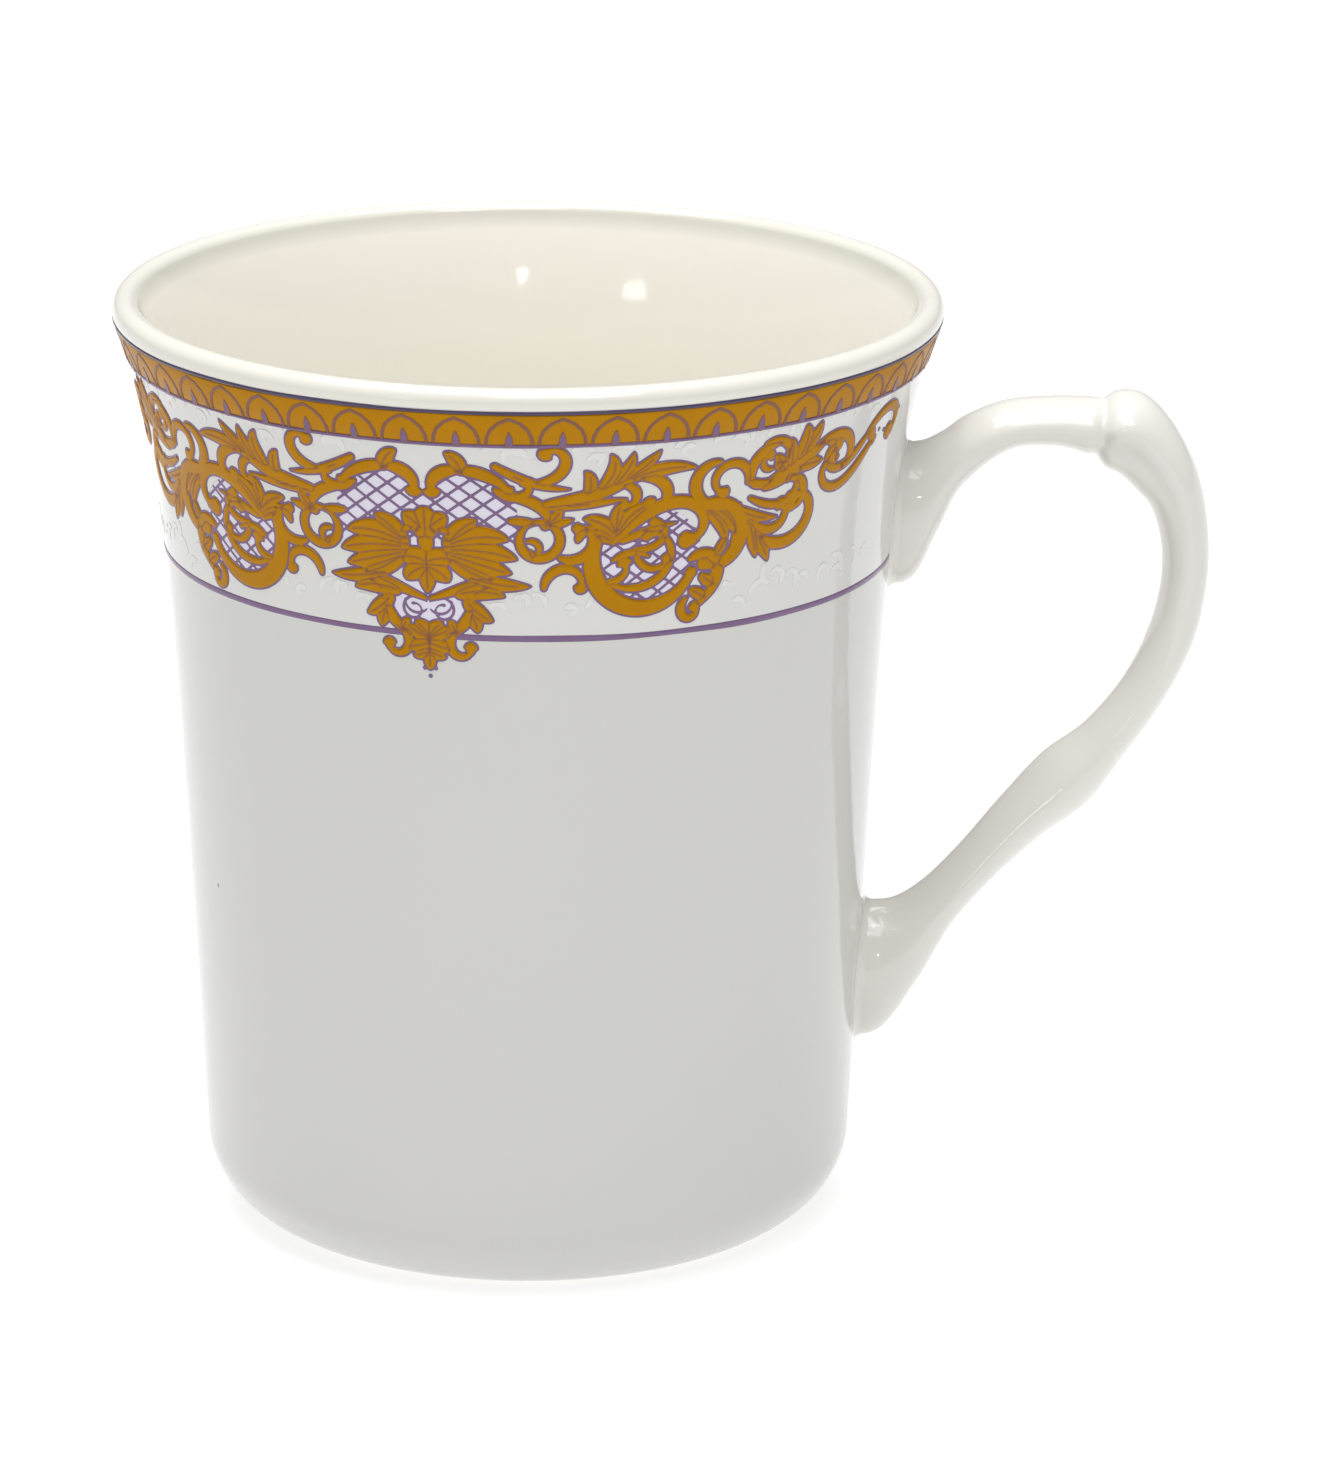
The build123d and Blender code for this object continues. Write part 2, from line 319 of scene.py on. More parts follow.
def cup_section():
    lean = math.atan(TAPER / (LIP_Z - BASE_CORNER))
    foot_out = BELLY - BASE_CORNER
    foot_in = foot_out - FOOT_WIDTH
    section = [(0, FOOT_RECESS), (foot_in / 2, FOOT_RECESS), (foot_in - 1.2, FOOT_RECESS)]
    section += arc((foot_in - 0.4, FOOT_RECESS - 0.4), 0.4, 90, 10, 5)
    section += arc((foot_in + 0.5, 0.5), 0.5, 190, 270, 6)
    section += arc((foot_out, BASE_CORNER), BASE_CORNER, -90, -math.degrees(lean), 40)
    wall_heights = np.linspace(BASE_CORNER + 1, WALL_TOP, 90)
    section += [(float(wall_radius(z)), float(z)) for z in wall_heights]
    middle = (RIM_RADIUS - LIP_RADIUS, LIP_Z)
    section += arc(middle, LIP_RADIUS, 4 - LIP_LEAN, 176 - LIP_LEAN, 24)
    for z in np.linspace(WALL_TOP, FLOOR + INNER_CORNER, 80):
        n = wall_normal(z)
        section.append((float(wall_radius(z) - WALL * n[0]), float(z - WALL * n[1])))
    across, up = section[-1]
    centre = (across - INNER_CORNER * math.cos(lean), up + INNER_CORNER * math.sin(lean))
    section += arc(centre, INNER_CORNER, -3 - math.degrees(lean), -90, 26)
    section += [(centre[0] * share, section[-1][1]) for share in (0.75, 0.5, 0.25, 0.0)]
    return section


# %% [markdown]
# Every visible piece goes through one helper. It makes the mesh, shades it smooth, gives it its
# finish, tells the frame which body it rides on, and hides the CAD nodes that it stands for.


# %% A helper for every piece
def new_piece(name, vertices, faces, material, slot, replaces=()):
    """A smooth mesh piece in the cup's frame. Its points come in millimetres."""
    mesh = bpy.data.meshes.new(name)
    mesh.from_pydata(np.asarray(vertices) * MM, [], faces)
    mesh.validate()
    mesh.shade_smooth()
    mesh.materials.append(material)
    piece = bpy.data.objects.new(name, mesh)
    scene.collection.objects.link(piece)
    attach(piece, "root")
    if replaces:
        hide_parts(*replaces)
    return piece


# %% The lathe
def lathe(section, segments):
    """Turns a section that starts and ends on the axis: its points, and its faces."""
    middle = section[1:-1]
    vertices = [(0, 0, section[0][1])]
    for radius, z in middle:
        for i in range(segments):
            a = 2 * math.pi * i / segments
            vertices.append((radius * math.cos(a), radius * math.sin(a), z))
    vertices.append((0, 0, section[-1][1]))
    last = len(vertices) - 1
    faces = []
    for i in range(segments):
        j = (i + 1) % segments
        faces.append((0, 1 + j, 1 + i))
        for ring in range(len(middle) - 1):
            low, high = 1 + ring * segments, 1 + (ring + 1) * segments
            faces.append((low + i, low + j, high + j, high + i))
        top = 1 + (len(middle) - 1) * segments
        faces.append((top + i, top + j, last))
    return vertices, faces


# %% The body
BODY_SEGMENTS = 288
section = cup_section()
body = new_piece(
    "cup_body_china",
    *lathe(section, BODY_SEGMENTS),
    shaded_body_china,
    "white_glazed_china",
    ["cup_body"],
)
body.data.materials.append(bounce_lit_inside_china)
# The inner faces and the lip take the inside's white, with its painted bounce light.
for face in body.data.polygons:
    inner = face.normal.xy.dot(face.center.xy) < 0 and face.center.z > FLOOR * MM
    face.material_index = int(inner or face.center.z > WALL_TOP * MM)
print("body:", len(section), "points in its section,", len(body.data.polygons), "faces")

# %% [markdown]
# ## The cast handle
# The handle is cast in a plaster mould, so its section changes all along: flat and wide where it
# meets the wall, thin along the top, with a knuckle at the corner and a swelling on the lower arm.
# A loft through ovals makes that. Each row gives the middle of one oval, the way its depth points,
# its depth and width, and how round it is: 2 is an oval, less than 2 gives its sides a ridge.

# %% The handle's sections
HANDLE_ROWS = (
    (34.5, 71.9, 88, 14.9, 11.0, 2.0),
    (38.4, 72.2, 88, 13.9, 10.5, 2.0),
    (40.8, 75.0, 88, 10.1, 9.8, 2.0),
    (43.3, 78.3, 86, 7.0, 9.0, 2.0),
    (47.6, 80.9, 90, 4.8, 8.6, 2.0),
    (52.2, 81.3, 88, 4.8, 8.4, 2.0),
    (55.6, 80.9, 83, 5.6, 8.6, 2.0),
    (57.6, 80.6, 80, 6.8, 9.6, 2.0),
    (59.9, 80.0, 72, 7.6, 9.8, 2.0),
    (62.0, 78.0, 61, 7.2, 9.6, 2.0),
    (64.2, 74.6, 45, 5.9, 9.0, 1.95),
    (65.4, 69.9, 22, 4.9, 8.6, 1.9),
    (65.5, 64.8, 0, 4.6, 8.4, 1.85),
    (64.3, 59.1, -18, 4.7, 8.4, 1.8),
    (61.6, 53.4, -31, 4.7, 8.6, 1.7),
    (57.9, 48.3, -41, 5.3, 9.0, 1.6),
    (54.0, 44.2, -48, 7.0, 9.4, 1.55),
    (49.5, 40.0, -50, 5.8, 8.8, 1.6),
    (44.9, 35.0, -47, 4.9, 8.6, 1.65),
    (41.2, 30.8, -58, 5.6, 9.0, 1.7),
    (38.3, 27.1, -76, 9.1, 10.0, 1.8),
    (35.2, 24.4, -86, 13.6, 10.5, 1.9),
    (31.5, 24.2, -88, 14.6, 11.0, 2.0),
)
HANDLE_RINGS = 12  # rings per row
HANDLE_SIDES = 72


# %% A smooth curve through the rows
def smooth_rows(rows, steps):
    """Runs a smooth curve through the rows of a table."""
    rows = np.array(rows, float)
    padded = np.vstack([2 * rows[0] - rows[1], rows, 2 * rows[-1] - rows[-2]])
    out = []
    for i in range(1, len(padded) - 2):
        a, b, c, d = padded[i - 1 : i + 3]
        for t in np.arange(steps) / steps:
            bend = (2 * a - 5 * b + 4 * c - d) * t**2 + (3 * b - a - 3 * c + d) * t**3
            out.append(b + 0.5 * ((c - a) * t + bend))
    out.append(rows[-1])
    return np.array(out)


def swell(value, middle, width):
    return np.exp(-(((value - middle) / width) ** 2))


# %% [markdown]
# The mould left a crease across the handle at its top corner. Beyond it the clay stands up in two
# soft lobes with a groove between them. The loft's points are moved in and out for that, by a few
# tenths of a millimetre, so the highlights break there as they do on the real handle.

# %% The handle's surface
CREASE_ROW = 6.55  # where the crease lies, counted in rows


def handle_surface():
    rows = smooth_rows(HANDLE_ROWS, HANDLE_RINGS)
    step = np.hypot(*np.diff(rows[:, :2], axis=0).T)
    along = np.concatenate([[0], np.cumsum(step)])
    crease = np.interp(CREASE_ROW * HANDLE_RINGS, np.arange(len(rows)), along)
    round_about = np.linspace(0, 2 * math.pi, HANDLE_SIDES, endpoint=False)
    cos, sin = np.cos(round_about), np.sin(round_about)
    side = np.abs(sin)
    off_outer = np.degrees(np.arccos(cos))  # 0 on the outer side, 180 on the inner side
    grid = []
    for (x, z, angle, depth, width, roundness), s in zip(rows, along):
        past = s - crease
        power = 2 / roundness
        deep = depth / 2 * np.sign(cos) * np.abs(cos) ** power
        wide = width / 2 * np.sign(sin) * np.abs(sin) ** power
        lift = -0.70 * swell(past, 0, 0.75) * (0.35 + 0.65 * side)
        if past > 0:
            fade = math.exp(-past / 7) * (1 - math.exp(-past / 0.8))
            lift += fade * (0.60 - 1.5 * swell(off_outer, 108, 20))
        reach = np.hypot(deep, wide)
        deep, wide = deep * (1 + lift / reach), wide * (1 + lift / reach)
        a = math.radians(angle)
        grid.append(np.stack([x + deep * math.cos(a), wide, z + deep * math.sin(a)], axis=1))
    return np.array(grid)


# %% The handle
def tube_faces(rings, sides, closed_ring=False):
    faces = []
    for k in range(rings if closed_ring else rings - 1):
        low, high = k * sides, (k + 1) % rings * sides
        faces += [
            (low + i, low + (i + 1) % sides, high + (i + 1) % sides, high + i)
            for i in range(sides)
        ]
    return faces


surface = handle_surface()
count = len(surface)
ends = [tuple(reversed(range(HANDLE_SIDES)))]
ends.append(tuple(range((count - 1) * HANDLE_SIDES, count * HANDLE_SIDES)))
new_piece(
    "handle_china",
    surface.reshape(-1, 3),
    tube_faces(count, HANDLE_SIDES) + ends,
    handle_china,
    "white_glazed_china",
    ["handle"],
)
cad_handle = [[round(c / MM, 1) for c in corner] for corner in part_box("handle")]
print("handle:", count, "rings; CAD box", cad_handle)

# %% [markdown]
# ## Slip at the joints
# The handle is stuck on with slip, a runny clay that squeezes out a little and is wiped to a small
# hollow fillet. For each line along the handle we find where it meets the wall, and bridge handle
# and wall there with a curve. Its radius wanders, because a finger wiped it.

# %% Where the handle meets the wall
SLIP_RADIUS = 1.1
FILLET_STEPS = 8


def unit(v):
    return v / np.linalg.norm(v)


def wall_gap(p):
    return math.hypot(p[0], p[1]) - float(wall_radius(p[2]))


def wall_direction(p):
    n = wall_normal(p[2])
    r = math.hypot(p[0], p[1])
    return np.array([p[0] / r * n[0], p[1] / r * n[0], n[1]])


# %% The skirt of slip
def slip_fillet(columns, seed):
    """A closed skirt round the foot of the handle, from the lines that run out of the wall."""
    sides = columns.shape[1]
    wander = np.random.default_rng(seed).uniform(0, 2 * math.pi, 4)
    feet, outs = [], []
    for i in range(sides):
        k = next(k for k in range(len(columns)) if wall_gap(columns[k, i]) > 0)
        a, b = columns[k - 1, i], columns[k, i]
        share = wall_gap(a) / (wall_gap(a) - wall_gap(b))
        feet.append(a + share * (b - a))
        outs.append(unit(columns[k + 3, i] - a))
    feet = np.array(feet)
    points = []
    for i in range(sides):
        normal = wall_direction(feet[i])
        along = unit(feet[(i + 1) % sides] - feet[i - 1])
        out = np.cross(along, outs[i])
        out *= 1 if np.dot(out, feet[i] - feet.mean(axis=0)) > 0 else -1
        out = unit(out)
        down = unit(out - np.dot(out, normal) * normal)
        turn = 2 * math.pi * i / sides
        waves = sum(math.sin(turn * (n + 2) + w) for n, w in enumerate(wander))
        radius = SLIP_RADIUS * (1 + 0.07 * waves)
        top = feet[i] + radius * outs[i] - 0.03 * out
        low = feet[i] + radius * down
        low = low - (wall_gap(low) + 0.03) * wall_direction(low)
        for t in np.linspace(0, 1, FILLET_STEPS):
            points.append((1 - t) ** 2 * top + 2 * t * (1 - t) * feet[i] + t**2 * low)
        points.append(feet[i] - 0.2 * normal - 0.2 * out)
    return points, tube_faces(sides, FILLET_STEPS + 1, closed_ring=True)


# %% The two slip fillets
for place, columns, seed in (("upper", surface, 3), ("lower", surface[::-1], 8)):
    name = f"{place}_handle_slip"
    skirt = slip_fillet(columns, seed)
    slip = new_piece(name + "_glazed", *skirt, handle_china, "white_glazed_china", [name])
    print(name, len(slip.data.polygons), "faces")

# %% [markdown]
# ## Drawing the border
# Such a border is drawn with a loaded brush: C-scrolls that end in a round eye, and leaf blades
# that end in a point. Two kinds of stroke are therefore enough. Each starts at a point with a
# heading and turns by so many degrees on its way. The frieze is drawn flat, in millimetres: across
# from the middle of the palmette, and up from the ring that runs round the cup.


# %% Brush strokes
def pen_line(x, y, heading, length, turn, late, count):
    """A line that turns as it goes. `late` says how much of the turn waits for the end."""
    share = np.linspace(0, 1, count)
    angle = np.radians(heading + turn * ((1 - late) * share + late * share**3))
    middle = (angle[1:] + angle[:-1]) / 2
    step = length / (count - 1)
    across = np.concatenate([[0], np.cumsum(np.cos(middle))]) * step
    up = np.concatenate([[0], np.cumsum(np.sin(middle))]) * step
    return share, np.stack([x + across, y + up], axis=1)


def scroll(x, y, heading, length, turn, late, width, eye=0.0):
    """A C-scroll: a line that swells in the middle and ends in a round eye."""
    share, line = pen_line(x, y, heading, length, turn, late, 8 + int(length * 2.2))
    swelling = 0.78 * width * (0.45 + 0.55 * np.sin(math.pi * share**0.75))
    return line, np.maximum(swelling, 1.7 * eye * np.clip((share - 0.88) / 0.12, 0, 1)), False


def blade(x, y, heading, length, turn, width):
    """A leaf blade: full near its root, pointed at its tip, with a vein."""
    share, line = pen_line(x, y, heading, length, turn, 0.3, 6 + int(length * 2.5))
    return line, 0.66 * width * np.sin(math.pi * (0.22 + 0.78 * share)) ** 0.8 + 0.02, True


# %% [markdown]
# The border is a symmetric composition, so only its right half is listed: a palmette with a
# pendant, a small scroll beside it, a spray of leaves, a round medallion of woven scrolls, and the
# leafy scrolls that run out towards the next repeat.

# %% The palmette and its pendant
PALMETTE = (
    (scroll, 3.2, 17.1, 178, 3.7, 105, 0.3, 0.80, 0.46),
    (scroll, 3.1, 17.1, 2, 5.2, -52, 0.1, 0.74, 0.3),
    (scroll, 6.6, 15.2, -42, 4.2, 170, 0.6, 0.60, 0.36), (blade, 3.6, 17.1, 105, 2.3, 55, 1.0),
    (blade, 0, 10.6, 90, 2.3, 0, 1.9), (blade, 0.4, 11.0, 48, 2.0, -20, 1.4),
    (scroll, 0.5, 11.0, 12, 3.6, -125, 0.2, 0.42, 0.22), (scroll, 0, 9, 90, 1.4, 0, 0, 0.9, 0.4),
    (blade, 2.4, 9.9, 54, 3.2, -30, 1.4), (blade, 2.4, 9.5, 26, 5.5, -48, 1.7),
    (blade, 2.4, 8.9, 4, 6.2, -28, 1.7), (blade, 2.4, 8.3, -16, 5.8, -2, 1.6),
    (blade, 2.6, 7.8, -38, 4.6, 26, 1.3), (blade, 4.4, 6.0, -14, 5.4, 16, 1.0),
    (blade, 0.2, 7.6, 30, 2.3, -60, 1.5), (blade, 0.2, 7.0, -16, 2.3, -50, 1.4),
    (blade, 0, 6.8, -90, 2.4, 0, 1.1), (scroll, 5.1, 5.8, 205, 5.2, -6, 0.3, 0.55, 0.1),
    (blade, 3.2, 4.5, 16, 4.2, -46, 1.3), (blade, 3.9, 3.5, -50, 2.9, 30, 1.1),
    (blade, 4.6, 4.5, 40, 1.7, -30, 0.8), (blade, 4.2, 2.3, -60, 1.8, -30, 0.9),
    (scroll, 4.4, 3.4, 258, 4.2, -50, 0, 0.70, 0.2), (blade, 2.6, 0.4, 104, 1.4, 30, 0.7),
    (scroll, 3.2, 0.9, 200, 5.4, 255, 0.35, 0.55, 0.36), (blade, 0, -0.1, 66, 2.0, -40, 1.1),
    (blade, 0, -0.1, 14, 2.4, 30, 1.0), (scroll, 0, 0.7, -90, 1.4, 0, 0, 0.6, 0.3),
    (blade, 0, -0.7, -18, 2.4, 10, 1.0), (blade, 0, -1.5, -30, 1.7, 20, 0.8),
    (blade, 0, -1.7, -90, 1.7, 0, 0.9),
)

# %% The small scroll and the spray of leaves
MIDDLE = (
    (scroll, 8.3, 14.3, 0, 4.4, -80, 0.1, 0.68, 0.3), (blade, 11.1, 11.5, 35, 2.5, 45, 0.8),
    (blade, 11.6, 11.6, 10, 2.1, 10, 0.6), (blade, 8, 12, -5, 2.4, 0, 0.6),
    (scroll, 9.2, 11.3, 228, 11.4, 350, 0, 0.58, 0.1),
    (scroll, 9.4, 9.9, 20, 2.6, -200, 0.2, 0.36, 0.3),
    (scroll, 12.5, 8.2, -28, 6.4, 215, 0.25, 0.66, 0.3),
    (scroll, 14.1, 9.9, 78, 2.2, -70, 0, 0.5, 0.2),
    (scroll, 11, 5.1, 88, 6, -200, 0.2, 0.58, 0.36),
)
SPRAY = (
    (blade, 6.6, 17.6, -34, 7.2, 34, 0.62), (scroll, 10.2, 15.9, 2, 6.4, 235, 0.55, 0.62, 0.4),
    (scroll, 11, 13.7, 4, 8.7, 26, 0, 0.85), (blade, 11.6, 13.4, 4, 6.9, 2, 0.62),
    (blade, 15, 14.9, 70, 2.3, 75, 0.8), (blade, 16.3, 15.4, 45, 3.6, 85, 0.95),
    (blade, 17.5, 15.8, 48, 3.3, 40, 0.85), (blade, 18.7, 16.3, 34, 3.6, 22, 0.8),
    (blade, 19.2, 16.2, 20, 5.9, -38, 1), (scroll, 19.6, 16.1, 4, 6.2, -235, 0.55, 0.66, 0.42),
    (scroll, 18, 15.5, -4, 3.7, -200, 0.4, 0.52, 0.32),
)

# %% The medallion
MEDALLION = (
    (scroll, 16.1, 10.3, 241, 16.6, 186, 0, 1.15, 0.34),
    (scroll, 17.4, 9.6, 50, 14.0, -236, 0.8, 0.85, 0.52), (blade, 17.4, 10.6, 130, 3.3, 50, 1.05),
    (blade, 17.6, 10.9, 88, 2.7, -10, 0.95), (blade, 17.9, 10.7, 66, 4.3, -62, 1.1),
    (blade, 17.0, 9.9, 142, 2.2, 50, 0.85), (blade, 18.3, 9.7, 22, 5.4, -16, 0.6),
    (scroll, 17.4, 5.3, -28, 11.4, 222, 0.35, 0.52, 0.40),
    (scroll, 16.9, 5.6, -10, 3.0, 130, 0.3, 0.45, 0.42),
    (scroll, 17.5, 7.7, 42, 3.6, -75, 0, 0.46),
    (scroll, 19.5, 8.8, -16, 5.4, 205, 0.5, 0.46, 0.34),
    (scroll, 19.6, 8.4, -80, 4.4, 150, 0.3, 0.46, 0.38),
    (scroll, 25.2, 7.2, 38, 7.8, -176, -0.5, 0.85), (blade, 26.6, 5.2, -38, 1.9, 10, 0.85),
    (blade, 25.6, 3.9, -28, 1.8, -10, 0.8), (scroll, 24.9, 3.2, 220, 4.1, 270, 0.35, 0.55, 0.38),
    (scroll, 26.2, 12.7, 4, 11.4, -214, 0.25, 1.15, 0.46), (blade, 26.9, 12.3, -24, 5.0, -62, 1.1),
    (blade, 26.7, 11.8, -36, 4.2, -58, 0.9), (blade, 28.6, 8.7, -110, 2.0, -30, 0.7),
)

# %% The leafy scrolls
LEAF = (
    (blade, 29.6, 11.7, -32, 5.2, 34, 0.8), (scroll, 31.3, 10.3, -52, 6.6, 215, 0.55, 0.62, 0.40),
    (blade, 31.4, 9.6, -70, 3.4, -8, 0.95), (blade, 32.0, 8.8, -50, 3.6, -20, 1.0),
    (scroll, 31.9, 8.9, -46, 12.4, 262, 0.5, 0.80, 0.50),
)
TAIL = (
    (scroll, 27.2, 16.9, 176, 9.6, 186, -0.5, 0.72, 0.10),
    (scroll, 30.5, 14.3, 80, 7.6, 262, 0.15, 0.55, 0.38),
    (scroll, 30.9, 14.4, 108, 5.4, -104, -0.2, 0.70, 0.10),
    (scroll, 32.0, 18.0, 20, 5.2, -200, 0.5, 0.55, 0.42),
    (scroll, 30.6, 14.6, -50, 3.6, 82, -0.2, 0.60, 0.10),
    (scroll, 33.2, 15.3, 200, 2.6, -190, 0.2, 0.36, 0.36),
    (scroll, 32.6, 13.5, 20, 7.4, 14, 0, 1.10), (blade, 34.6, 14.9, 118, 2.2, 25, 0.9),
    (blade, 35.3, 15.5, 92, 2.6, 20, 1.0), (blade, 36.3, 16.1, 62, 3.2, 60, 1.15),
    (blade, 37.0, 16.6, 50, 2.9, 30, 1.0), (blade, 36.4, 14.9, 4, 3.0, -5, 1.0),
    (scroll, 38.3, 16.4, 34, 8.6, -205, 0.55, 0.68, 0.25),
    (scroll, 39.2, 17.0, -2, 3.3, -95, 0.2, 0.52, 0.34),
    (scroll, 34.8, 13.9, 14, 6.0, -215, 0.35, 0.60, 0.40),
    (scroll, 31.0, 12.6, -32, 8.6, 232, 0.8, 0.50, 0.42),
    (scroll, 46.2, 16.2, 46, 8.8, -225, 0.75, 0.62, 0.50),
    (scroll, 46.4, 16.2, 224, 9.6, -235, 0.92, 0.58, 0.46),
    (scroll, 47.6, 15.4, 226, 12.0, -225, 0.96, 0.62, 0.46),
    (scroll, 46.8, 16.4, -60, 1.3, 0, 0, 0.70, 0.34),
)
print("strokes in half a repeat:", sum(map(len, (PALMETTE, MIDDLE, SPRAY, MEDALLION, LEAF, TAIL))))

# %% [markdown]
# ## From strokes to enamel
# Enamel is glass paint. It stands up from the glaze as a low cushion with soft edges. To get that,
# each stroke is laid on a fine grid as a distance to its edge, with minus inside. The grid keeps
# the nearest and the second nearest stroke: where the two are equal, one stroke meets another, and
# the painter leaves a thin dark line there.

# %% The drawing sheet
GRID = 0.125
FAR = 9.0


class Sheet:
    """A grid over part of the flat frieze, with the distances to the strokes laid on it."""

    def __init__(self, left, right, low, high):
        self.xs = np.arange(left, right + GRID, GRID)
        self.ys = np.arange(low, high + GRID, GRID)
        shape = (len(self.xs), len(self.ys))
        self.near, self.second, self.vein = (np.full(shape, FAR) for _ in range(3))

    def lay(self, line, radii, veined):
        reach = radii.max() + 0.9
        low, high = line.min(axis=0) - reach, line.max(axis=0) + reach
        i0, i1 = np.searchsorted(self.xs, (low[0], high[0]))
        j0, j1 = np.searchsorted(self.ys, (low[1], high[1]))
        gx, gy = self.xs[i0:i1, None], self.ys[None, j0:j1]
        gap, axis = np.full((i1 - i0, j1 - j0), FAR), np.full((i1 - i0, j1 - j0), FAR)
        for (ax, ay), (bx, by), ra, rb in zip(line, line[1:], radii, radii[1:]):
            dx, dy = bx - ax, by - ay
            t = np.clip(((gx - ax) * dx + (gy - ay) * dy) / (dx * dx + dy * dy), 0, 1)
            off = np.hypot(gx - ax - t * dx, gy - ay - t * dy)
            gap = np.minimum(gap, off - (ra + t * (rb - ra)))
            if veined and max(ra, rb) > 0.42:
                axis = np.minimum(axis, off)
        window = (slice(i0, i1), slice(j0, j1))
        self.second[window] = np.minimum(
            np.maximum(self.near[window], gap), self.second[window]
        )
        self.near[window] = np.minimum(self.near[window], gap)
        self.vein[window] = np.minimum(self.vein[window], axis)

    def draw(self, strokes, both_sides=False):
        for kind, *values in strokes:
            line, radii, veined = kind(*values)
            self.lay(line, radii, veined)
            if both_sides and np.abs(line[:, 0]).max() > 0.3:
                self.lay(line * (-1, 1), radii, veined)


# %% [markdown]
# The painted part is then cut out of the grid. A cell that the edge crosses is cut along it, so
# the outline is smooth although the grid is square. Every piece is a closed solid: a top, a thin
# side and a bottom that sits just inside the glaze.

# %% Cutting a piece out
SUNK = 0.03
SIDES_OF_CELL = ((0, 0), (1, 0), (1, 1), (0, 1))


class Cutout:
    """The part of a sheet where a value is above 0, as welded cells with a smooth edge."""

    def __init__(self, sheet, value):
        value = np.where(np.abs(value) < 1e-6, 1e-6, value)
        value[[0, -1], :] = -1
        value[:, [0, -1]] = -1
        inside = value > 0
        found, spots, self.faces, self.rim = {}, [], [], []

        def spot(a, b):
            key = (a, b) if a <= b else (b, a)
            if key not in found:
                a, b = key
                share = 0.0 if a == b else value[a] / (value[a] - value[b])
                found[key] = len(spots)
                spots.append((*a, *b, min(max(share, 0.08), 0.92) if a != b else 0.0))
            return found[key]

        some = inside[:-1, :-1] | inside[1:, :-1] | inside[1:, 1:] | inside[:-1, 1:]
        for i, j in np.argwhere(some):
            corners = [(int(i) + di, int(j) + dj) for di, dj in SIDES_OF_CELL]
            face, leave = [], []
            for a, b in zip(corners, corners[1:] + corners[:1]):
                if inside[a]:
                    face.append(spot(a, a))
                if inside[a] != inside[b]:
                    face.append(spot(a, b))
                    leave.append((bool(inside[a]), len(face) - 1))
            self.faces.append(face)
            for is_exit, k in leave:
                if is_exit:
                    self.rim.append((face[k], face[(k + 1) % len(face)]))
        spots = np.array(spots)
        self.a = tuple(spots[:, :2].astype(int).T)
        self.b = tuple(spots[:, 2:4].astype(int).T)
        self.share = spots[:, 4]
        self.x = self.pick(np.broadcast_to(sheet.xs[:, None], value.shape))
        self.y = self.pick(np.broadcast_to(sheet.ys[None, :], value.shape))

    def pick(self, grid):
        """A grid's values at the cut-out's points."""
        return grid[self.a] * (1 - self.share) + grid[self.b] * self.share

    def solid(self, height):
        """Flat solid: points (across, up, out) and faces."""
        count = len(self.x)
        top = np.stack([self.x, self.y, height], axis=1)
        low = np.stack([self.x, self.y, np.full(count, -SUNK)], axis=1)
        faces = list(self.faces)
        faces += [[k + count for k in reversed(face)] for face in self.faces]
        faces += [(b, a, a + count, b + count) for a, b in self.rim]
        return np.vstack([top, low]), faces


# %% Wrapping it on the wall
RING_Z = (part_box("body_ring")[0].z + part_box("body_ring")[1].z) / 2 / MM
FRIEZE_RADIUS = 36.5


def wrapped(flat, azimuth, side=1):
    """Flat points laid on the wall. Azimuth is in degrees, counted from -Y towards +X."""
    turn = math.radians(azimuth) + side * flat[:, 0] / FRIEZE_RADIUS
    z = RING_Z + flat[:, 1]
    out, up = wall_normal(z)
    r = wall_radius(z) + flat[:, 2] * out
    return np.stack([r * np.sin(turn), -r * np.cos(turn), z + flat[:, 2] * up], axis=1)


def turned_over(faces, side):
    return faces if side > 0 else [list(reversed(face)) for face in faces]


print("the frieze is drawn at a radius of", FRIEZE_RADIUS, "mm, up from", round(RING_Z, 2), "mm")


# %% [markdown]
# ## Gold and lilac enamel
# The gold is an ochre lustre: part paint, part metal, with a satin shine that is never even. The
# drawn lines in it come from a value stored on the mesh, because they belong to the strokes. The
# lilac is plain glass colour, thinner and glossier, that gathers darker in places.

# %% The colours of the enamels
GOLD = colour(0.440, 0.200, 0.0015)
DEEP_GOLD = colour(0.365, 0.158, 0.001)
DRAWN_LINE = colour(0.20, 0.085, 0.055)
LILAC = colour(0.215, 0.130, 0.250)
DEEP_LILAC = colour(0.140, 0.080, 0.170)
INK = colour(0.085, 0.060, 0.120)
DEEP_INK = colour(0.050, 0.035, 0.075)
RAISED_WHITE = colour(0.700, 0.696, 0.680)
PALE_WASH = colour(0.700, 0.670, 0.760)
MID_WASH = colour(0.640, 0.610, 0.720)


# %% The recipe for enamel
def enamel(name, light, dark, metal, shine, gloss=0.3):
    material, start, shader = new_material(
        name, {"IOR": 1.5, "Metallic": metal, "Specular IOR Level": gloss}
    )
    place = start.add("ShaderNodeTexCoord", take=3)
    cloud = noise(start, place, 240.0, 4.0)
    base = mixed(start, cloud, light, dark)
    line = start.add("ShaderNodeAttribute", {"attribute_name": "drawn_line"}, take=2)
    base = base.blend(line, DRAWN_LINE)
    grain = noise(start, place, 1500.0, 2.0)
    bump = start.add(
        "ShaderNodeBump", None, {"Strength": 0.25, "Distance": 0.00006, "Height": grain}
    )
    rough = shine + 0.16 * grain + 0.2 * line
    feed(shader, {"Base Color": base, "Roughness": rough, "Normal": bump})
    return material


